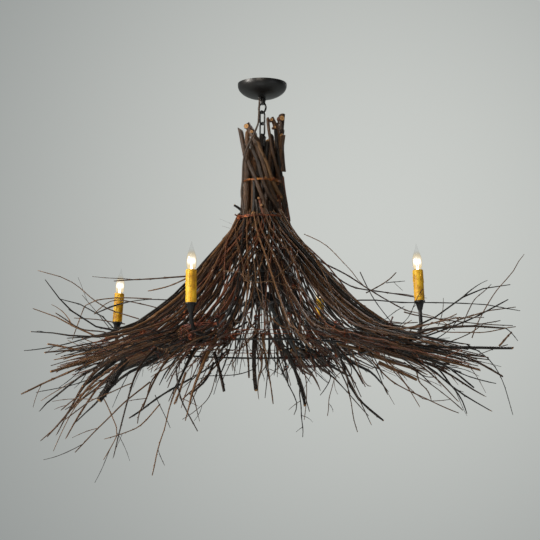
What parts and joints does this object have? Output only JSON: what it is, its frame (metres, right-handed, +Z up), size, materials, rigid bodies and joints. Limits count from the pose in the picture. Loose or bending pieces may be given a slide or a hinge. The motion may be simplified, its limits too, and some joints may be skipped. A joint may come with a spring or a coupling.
{
  "type": "branch chandelier pendant light",
  "caption": "Rustic chandelier of wired branches and twigs on an iron frame, with candle lights on curved arms under a chain and ceiling canopy.",
  "frame": {"origin": "on the ceiling, at the centre of the crossbar and of the canopy's rim", "axes": "+Z up, +X to the right of the picture along the longer way across, +Y away from the viewer"},
  "size_m": [1.3012, 1.2746, 1.036],
  "materials": {
    "black_iron": "satin",
    "zinc": "zinc plated",
    "ground_green": "satin",
    "brass": "plain",
    "bushing": "matte",
    "cord": "matte",
    "thick_bark": "bark",
    "dark_bark": "bark",
    "red_bark": "bark",
    "copper": "tarnished copper wire",
    "lampholder": "matte",
    "beeswax": "waxy",
    "bulb_glass": "clear",
    "filament": "glowing"
  },
  "bodies": {
    "ceiling_set": {"crossbar": "zinc", "ground_screw": "ground_green", "nipple": "brass", "locknut": "zinc", "canopy": "black_iron", "canopy_loop": "black_iron", "cord_bushing": "bushing"},
    "link_1": {"chain_link_1": "black_iron"},
    "link_2": {"chain_link_2": "black_iron"},
    "link_3": {"chain_link_3": "black_iron"},
    "pendant": {"supply_cord": "cord", "trunk_sticks": "thick_bark", "upper_tie": "copper", "lower_tie": "copper", "layer_ties": "copper", "bundle_ties": "copper", "outer_twigs": "dark_bark", "inner_twigs": "red_bark", "third_twigs": "dark_bark", "hoop_twigs": "thick_bark", "low_cross_twigs": "red_bark", "high_cross_twigs": "dark_bark", "curtain_twigs": "red_bark", "hanger_eye": "black_iron", "stem": "black_iron", "upper_ring": "black_iron", "lower_ring": "black_iron", "curtain_ring": "black_iron", "hub": "black_iron", "hub_cover": "black_iron", "finial": "black_iron", "hoop": "black_iron", "arm_front_right": "black_iron", "cup_front_right": "black_iron", "lampholder_front_right": "lampholder", "sleeve_front_right": "beeswax", "arm_back_right": "black_iron", "cup_back_right": "black_iron", "lampholder_back_right": "lampholder", "sleeve_back_right": "beeswax", "arm_back_left": "black_iron", "cup_back_left": "black_iron", "lampholder_back_left": "lampholder", "sleeve_back_left": "beeswax", "arm_front_left": "black_iron", "cup_front_left": "black_iron", "lampholder_front_left": "lampholder", "sleeve_front_left": "beeswax"},
    "bulb_front_right_set": {"bulb_front_right": "bulb_glass", "bulb_base_front_right": "brass", "filament_front_right": "filament"},
    "bulb_back_right_set": {"bulb_back_right": "bulb_glass", "bulb_base_back_right": "brass", "filament_back_right": "filament"},
    "bulb_back_left_set": {"bulb_back_left": "bulb_glass", "bulb_base_back_left": "brass", "filament_back_left": "filament"},
    "bulb_front_left_set": {"bulb_front_left": "bulb_glass", "bulb_base_front_left": "brass", "filament_front_left": "filament"}
  },
  "joints": [
    {"name": "loop_swing", "type": "hinge", "parent": "ceiling_set", "child": "link_1", "pos_m": [0, 0, -0.0772], "axis": [0.7071, -0.7071, 0], "range_deg": [-10, 10], "deforming": ["supply_cord"]},
    {"name": "upper_chain_swing", "type": "hinge", "parent": "link_1", "child": "link_2", "pos_m": [0, 0, -0.10765], "axis": [0.7071, 0.7071, 0], "range_deg": [-10, 10], "deforming": ["supply_cord"]},
    {"name": "lower_chain_swing", "type": "hinge", "parent": "link_2", "child": "link_3", "pos_m": [0, 0, -0.13835], "axis": [0.7071, -0.7071, 0], "range_deg": [-10, 10], "deforming": ["supply_cord"]},
    {"name": "eye_swing", "type": "hinge", "parent": "link_3", "child": "pendant", "pos_m": [0, 0, -0.16905], "axis": [0.7071, 0.7071, 0], "range_deg": [-10, 10], "deforming": ["supply_cord"]},
    {"name": "bulb_front_right_turn", "type": "hinge", "parent": "pendant", "child": "bulb_front_right_set", "pos_m": [0.38478, -0.15938, -0.60769], "axis": [-0.0451, 0.0187, 0.9988], "continuous": true},
    {"name": "bulb_back_right_turn", "type": "hinge", "parent": "pendant", "child": "bulb_back_right_set", "pos_m": [0.15979, 0.38578, -0.61497], "axis": [-0.0067, -0.0161, 0.9998], "continuous": true},
    {"name": "bulb_back_left_turn", "type": "hinge", "parent": "pendant", "child": "bulb_back_left_set", "pos_m": [-0.38541, 0.15964, -0.6258], "axis": [0.0644, -0.0267, 0.9976], "continuous": true},
    {"name": "bulb_front_left_turn", "type": "hinge", "parent": "pendant", "child": "bulb_front_left_set", "pos_m": [-0.15996, -0.38617, -0.63933], "axis": [0.0033, 0.0081, 1], "continuous": true}
  ]
}
